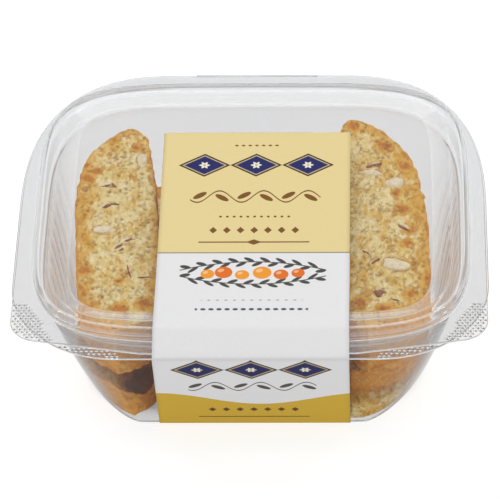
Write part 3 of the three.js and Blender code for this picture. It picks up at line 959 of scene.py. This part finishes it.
def make_slice(cut, material):
    """One slice: its cut face, extruded down through the crust, then given crags and pits."""
    thick = cut.layer[1]
    bm = bmesh.new()
    cut_face(cut, bm)
    rim, toast_and_shade = (bm.verts.layers.float[name] for name in ("rim", "toast_and_shade"))
    pit = bm.verts.layers.float.new("pit")
    grown = bmesh.ops.extrude_face_region(bm, geom=bm.faces[:])["geom"]
    top = {part for part in grown if isinstance(part, bmesh.types.BMVert)}
    bmesh.ops.translate(bm, verts=list(top), vec=(0, 0, thick))
    sides = [edge for edge in bm.edges if len(set(edge.verts) & top) == 1]
    for vert in top:
        crumbs = CRUMBLE_LEAST + ragged(cut, vert.co, CRUMBLE_SIZE, 5)
        fall = max(CRUMBLE - vert[rim], 0) * crumbs
        vert.co.z -= fall * fall / CRUMBLE
    bmesh.ops.subdivide_edges(bm, edges=sides, cuts=round(thick / cut.grain) - 1)
    if cut.name in LEDGES:
        step_back(cut, bm, rim, toast_and_shade)
    if cut.name in BREAKS:
        break_corner(cut, bm)
    bmesh.ops.recalc_face_normals(bm, faces=bm.faces)
    bm.normal_update()
    for vert in bm.verts:
        place = vert.co + Vector((0, 0, cut.seed * 40))
        on_face = vert[rim] > 0.3 and vert.co.z > thick / 2
        level, broad_share, small_share = FACE_RELIEF if on_face else CRUST_RELIEF
        broad = noise.fractal(place / CRAG_SIZES[0], 1.0, 2.0, 3)
        small = noise.fractal(place / CRAG_SIZES[1], 1.0, 2.0, 2)
        depth = level - broad_share * broad - small_share * small
        if on_face:
            near, _ = noise.voronoi(place / PIT_SPACING)
            hole = max(1 - near[0] / PIT_RADIUS, 0) * (ragged(cut, place, 4, 9) > PIT_SHARE)
            ring = almond_ring(cut, vert.co.x, vert.co.y)
            hole = max(hole, ring * ragged(cut, place, 3, 2) * RING_DARK)
            # Painted shade in the pits.
            vert[pit] = min(hole * PIT_PAINTED_SHADE, 1)
            depth += PIT_DEPTH * hole
        vert.co -= vert.normal * max(depth, -HIGHEST)
    bmesh.ops.transform(bm, matrix=slice_place(cut), verts=bm.verts)
    press_to_wall(bm)
    bmesh.ops.recalc_face_normals(bm, faces=bm.faces)
    add_piece(cut.name + "_crumb", bm, [material], [cut.name])


def make_almonds(cut, material):
    """Almond pieces sunk in a cut face and cut flush with it, with skin down one side."""
    middle_z = cut.layer[1] - ALMOND_SUNK
    around, over = ALMOND_SIDES
    bump, bump_pitch = ALMOND_BUMPS
    bm = bmesh.new()
    skin = bm.verts.layers.float.new("skin")
    for along_u, across, length, width, turn, brown in ALMONDS[cut.name]:
        made = bmesh.ops.create_uvsphere(bm, u_segments=around, v_segments=over, radius=1)["verts"]
        place = (
            Matrix.Translation((along_u, across, middle_z))
            @ Matrix.Rotation(math.radians(turn), 4, "Z")
            @ Matrix.Diagonal((length / 2, width / 2, ALMOND_HALF, 1))
        )
        own = Vector((along_u, across, 0))
        for vert in made:
            vert[skin] = min(max((vert.co.y + 2 * brown - SKIN_START) * SKIN_STEEP, 0), 1)
            vert.co *= 1 + bump * noise.noise(vert.co * bump_pitch + own)
            vert.co.z = min(vert.co.z, ALMOND_CUT + ALMOND_SLANT * vert.co.x)
        bmesh.ops.transform(bm, matrix=place, verts=made)
    bmesh.ops.transform(bm, matrix=slice_place(cut), verts=bm.verts)
    bmesh.ops.recalc_face_normals(bm, faces=bm.faces)
    add_piece(cut.name + "_almonds", bm, [material])


# ---- Paper ----


def paper_back():
    graph = new_graph("paper_back")
    fibre = graph.speckle(graph.place(), 0.6, detail=2)
    return graph.finish(graph.principled(
        Base_Color=graph.mix(fibre, "f0efec", "e6e4df"), Roughness=0.8,
    ))


EDGE = 0.09  # softness of a printed edge
MIDDLE = 1  # halfway across the label
CREAM_END = 72.2  # where the cream field ends, down from the label's back edge
GOLD_START, GOLD_SWING = 166.5, 5.2  # where the gold field starts, at a wavy line
FIELD_LINE, RULE_LINE, STEM_LINE, BOW_LINE = 0.3, 0.35, 0.4, 0.28  # half widths
RULE_REACH = 21
STAR = ((1.5, 1.9), 5.2, 17)  # size, pitch and half width of a row of small lozenges
SPRIG_PITCH = 17
TILE_PITCH = 20
LOZENGES = ((1, "3d2f2a"), (0.87, "c9b184"), (0.78, "232a66"))
# Printed berries: place across and down, radius, colour.
BERRIES = [
    ((-16, 84.5), 2.6, "ef9a2d"), ((-10, 83.6), 3.3, "e2701f"), ((-3, 85), 2.7, "ef9a2d"),
    ((4.5, 83.8), 3.5, "ef9a2d"), ((11.6, 84.8), 2.8, "e2701f"), ((18, 84), 2.5, "e2701f"),
]


class Print:
    """Shapes printed on the label, as masks: millimetres across it and down from its back edge."""

    def __init__(self, graph, length):
        band = graph.node("UVMap", {"uv_map": "band"})
        split = graph.node("SeparateXYZ", {}, {"Vector": band}, output="X")
        self.graph = graph
        self.across = split * (LABEL_RIGHT - LABEL_LEFT) + LABEL_LEFT
        self.down = split.output("Y") * length

    def turned(self, middle, degrees, repeat):
        """Place about a middle, along and across a direction. repeat is the pitch of a row."""
        along_x = self.across - middle[0]
        along_y = self.down - middle[1]
        if repeat:
            along_x = along_x.wrapped(repeat)
        cos, sin = math.cos(math.radians(degrees)), math.sin(math.radians(degrees))
        return along_x * cos + along_y * sin, along_y * cos - along_x * sin

    def oval(self, middle, size, degrees=0.0, repeat=None):
        u, v = self.turned(middle, degrees, repeat)
        distance = ((u / size[0]) ** 2 + (v / size[1]) ** 2) ** 0.5
        return distance.below(1, EDGE / min(size))

    def diamond(self, middle, size, repeat=None):
        u, v = self.turned(middle, 0, repeat)
        return (abs(u) / size[0] + abs(v) / size[1]).below(1, EDGE / min(size))

    def bent(self, rise, span):
        """The same shapes on a bow, lowered by rise in the middle and not at the span's ends."""
        bow = copy(self)
        bow.down = self.down - rise * (1 - ((self.across - MIDDLE) / span) ** 2)
        return bow

    def within(self, middle, reach_x):
        return abs(self.across - middle).below(reach_x, EDGE)

    def row(self, shape, down, size, pitch, reach_x):
        """A row of ovals or diamonds, cut off on each side of the middle."""
        return shape((MIDDLE, down), size, repeat=pitch).both(self.within(MIDDLE, reach_x))

    def rule(self, down):
        return abs(self.down - down).below(RULE_LINE, EDGE).both(self.within(MIDDLE, RULE_REACH))


def sprig(design, down, swing, reach_x):
    """A wavy stem with leaves on both sides."""
    wave = swing * (design.across * (math.tau / SPRIG_PITCH) + math.pi).sine()
    parts = [abs(design.down - down - wave).below(STEM_LINE, EDGE)]
    for side in (-1, 1):
        middle = (side * SPRIG_PITCH / 4 + MIDDLE, down + side * swing * 0.2)
        parts.append(design.oval(middle, (3.1, 1.25), side * 38, SPRIG_PITCH))
    return reduce(Value.either, parts).both(design.within(MIDDLE, reach_x))


def tiles(design, ground, down, wide, high):
    """Three navy lozenges with a dark rim, a tan line and a cream flower."""
    mix = design.graph.mix
    middle = (MIDDLE, down)
    row = design.within(MIDDLE, 1.5 * TILE_PITCH)
    for grow, code in LOZENGES:
        lozenge = design.diamond(middle, (wide * grow, high * grow), TILE_PITCH)
        ground = mix(lozenge.both(row), ground, code)
    petals = [design.oval(middle, (2.1, 0.62), degrees, TILE_PITCH) for degrees in (0, 60, 120)]
    ground = mix(reduce(Value.either, petals).both(row), ground, "f1ead6")
    heart = design.oval(middle, (0.6, 0.6), 0, TILE_PITCH)
    return mix(heart.both(row), ground, "c9b184")


def wreath(design, down, rise, span, reach_x):
    """Two bows of leaves that near each other at their ends, cut there between two leaves."""
    parts = []
    for side in (-1, 1):
        bow = design.bent(side * rise, span)
        stem = abs(bow.down - down).below(BOW_LINE, EDGE)
        parts.append(stem.both(design.within(MIDDLE, reach_x + 0.5)))
        for lean in (-1, 1):
            middle = (MIDDLE + lean * 1.5, down + lean * 1.25)
            leaves = bow.oval(middle, (2.3, 0.85), lean * side * 32, 6)
            parts.append(leaves.both(design.within(middle[0], reach_x)))
    return reduce(Value.either, parts)


def printed_paper(length):
    """Fields of colour and plain ornaments, printed on coated paper."""
    graph = new_graph("printed_paper")
    design = Print(graph, length)
    mix = graph.mix
    paper = mix(design.down.below(CREAM_END, EDGE), "e6e6e7", "e6d296")
    line = abs(design.down - CREAM_END).below(FIELD_LINE, EDGE)
    paper = mix(line, paper, "8f8778")

    on_cream = [
        design.row(design.diamond, 8, (0.9, 0.6), 2.6, 9),
        sprig(design, 39, 3.4, 25),
        design.row(design.oval, 51, (0.55, 0.55), 2.6, 15),
        design.row(design.diamond, 59, *STAR),
        design.rule(66),
        design.diamond((MIDDLE, 66), (3, 1.6)),
    ]
    paper = mix(reduce(Value.either, on_cream), paper, "7d5423")
    paper = tiles(design, paper, 20, 10, 7)

    paper = mix(wreath(design, 84, 6.5, 32, 27), paper, "4b4845")
    for place, radius, code in BERRIES:
        paper = mix(design.oval(place, (radius, radius)), paper, code)
        spot = (place[0] - radius * 0.3, place[1] - radius * 0.35)
        gleam = design.oval(spot, (radius * 0.4, radius * 0.28), -30)
        paper = mix(gleam * 0.5, paper, "ffe0b0")
    paper = mix(design.row(design.diamond, 101, (0.8, 0.5), 3.2, 19), paper, "a9abb3")
    paper = mix(design.row(design.oval, 107, (1.0, 0.75), 3.0, 21), paper, "4a4c58")

    paper = mix(sprig(design, 155, 3.8, 24), paper, "5b554f")
    wave = GOLD_START + GOLD_SWING * ((design.across - 4) / 12.4 + math.pi / 2).sine()
    paper = mix((design.down - wave).above(0, EDGE), paper, "d6ae22")
    on_gold = design.row(design.diamond, 177, *STAR).either(design.rule(184))
    paper = mix(on_gold, paper, "6e4a17")
    paper = tiles(design, paper, 139.5, 10, 8.4)

    fibre = graph.speckle(graph.place(), 0.5, detail=2)
    paper = mix(fibre.above(0.55, 0.2) * 0.05, paper, "8c8674")
    return graph.finish(graph.principled(
        Base_Color=paper, Roughness=0.42 + 0.1 * fibre, Normal=graph.bump(fibre, 0.03),
    ))


# ---- Stage, lights and camera ----

FLOOR_SIZE = 6  # half its side, in metres
# Albedo and glow of the floor: in the open, under the pack where it is darker as a painted shadow,
# and in reflections.
FLOOR_OPEN, FLOOR_PAINTED_SHADOW, FLOOR_MIRRORED = (0.26, 0.83), (0.26, 0.15), (0.1, 0.1)
PAINTED_SHADOW_EDGE = (0.62, 0.25)  # where the painted shadow under the pack starts, and how softly
ROOM, ROOM_MIRRORED, ROOM_THROUGH = 0.37, 0.16, 0.95
# Lamps: name, place and size in metres, power, whether they show in reflections.
LAMPS = [
    ("softbox_over", (0.0, 0.5, 1.4), (2.0, 0.8), 14.2, False),
    ("strip_over", (0.0, -0.3, 1.35), (1.3, 0.05), 1.4, True),
    ("strip_front", (0.0, -1.2, 0.6), (0.9, 0.04), 1.0, True),
    ("strip_left", (-1.1, -0.2, 0.7), (0.07, 1.0), 2, True),
    ("strip_right", (1.1, -0.1, 0.7), (0.07, 1.0), 2, True),
]


def floor_paper(graph, albedo, glow):
    return graph.principled(
        Base_Color=(albedo, albedo, albedo, 1), Roughness=0.9, Specular_IOR_Level=0.0,
        Emission_Color=(1, 1, 1, 1), Emission_Strength=glow,
    )


def make_stage():
    """A pale floor that glows a little, less so in reflections, and less under the pack, as a
    painted shadow.
    """
    graph = new_graph("pale_floor")
    spot = graph.node("SeparateXYZ", {}, {"Vector": graph.place()}, output="X")
    across, along_y = abs(spot) / TUB_FOOT.x, abs(spot.output("Y")) / TUB_FOOT.y
    # A painted contact shadow: the floor is darker under the pack.
    under = (across ** 4 + along_y ** 4).below(*PAINTED_SHADOW_EDGE)
    floor = bpy.data.meshes.new("floor")
    bm = bmesh.new()
    bmesh.ops.create_grid(bm, x_segments=1, y_segments=1, size=FLOOR_SIZE)
    bm.to_mesh(floor)
    bm.free()
    ground = add_object("floor", floor)
    seen = [floor_paper(graph, *look) for look in (FLOOR_OPEN, FLOOR_PAINTED_SHADOW, FLOOR_MIRRORED)]
    paper = graph.mix_shaders(under, seen[0], seen[1])
    paper = graph.mix_shaders(graph.mirrored(), paper, seen[2])
    floor.materials.append(graph.finish(paper))


def add_lamp(name, place, size, power, mirrored):
    """A flat lamp that faces the pack."""
    lamp = bpy.data.lights.new(name, "AREA")
    lamp.shape = "RECTANGLE"
    lamp.size, lamp.size_y = size
    lamp.energy = power
    box = add_object(name, lamp)
    box.location = place
    box.visible_glossy = mirrored
    box.rotation_mode = "QUATERNION"
    box.rotation_quaternion = (-Vector(place)).to_track_quat("-Z", "Y")


def background(graph, strength):
    return graph.node("Background", {}, {"Color": (1, 1, 1, 1), "Strength": strength})


def make_world():
    """Even pale light all round, brighter through the clear sheet and dimmer in reflections."""
    graph = Graph(bpy.data.worlds.new("studio"))
    seen_through = graph.node("LightPath", output="Is Transmission Ray")
    room, mirrored, through = (
        background(graph, strength) for strength in (ROOM, ROOM_MIRRORED, ROOM_THROUGH)
    )
    room = graph.mix_shaders(graph.mirrored(), room, mirrored)
    return graph.finish(graph.mix_shaders(seen_through, room, through), "World")


def make_lights():
    scene = bpy.context.scene
    scene.world = make_world()
    for lamp in LAMPS:
        add_lamp(*lamp)
    scene.view_settings.view_transform = "Standard"
    scene.cycles.max_bounces = 12
    scene.cycles.transparent_max_bounces = 48
    scene.cycles.caustics_reflective = False
    scene.cycles.caustics_refractive = False


def make_camera():
    back = Vector((
        math.sin(AZIMUTH) * math.cos(ELEVATION),
        -math.cos(AZIMUTH) * math.cos(ELEVATION),
        math.sin(ELEVATION),
    ))
    right = Vector((0, 0, 1)).cross(back).normalized()
    up = back.cross(right)
    side = right * math.cos(ROLL) + up * math.sin(ROLL)
    top = up * math.cos(ROLL) - right * math.sin(ROLL)
    lens = bpy.data.cameras.new("camera")
    lens.lens = LENS
    lens.sensor_width = SENSOR
    lens.clip_start, lens.clip_end = 0.1, 20
    camera = add_object("camera", lens)
    camera.matrix_world = Matrix((side, top, back)).transposed().to_4x4()
    camera.location = (TARGET + back * DISTANCE) * MM
    bpy.context.scene.camera = camera


# ---- The pack ----

make_camera()
make_stage()
make_lights()

clear = clear_sheet()
make_shells(clear)
make_hinge(clear)
make_knurls("lid_knurls", on_lid_tab, LID_FLANGE_Z, clear)
make_knurls("tub_knurls", on_tub_tab, FLANGE_Z, clear)
make_label(printed_paper, paper_back())

nut = almond_flesh()
for cut in SLICES:
    make_slice(cut, biscuit("crumb_" + cut.name, cut.seed * 5.0))
    if cut.name in ALMONDS:
        make_almonds(cut, nut)
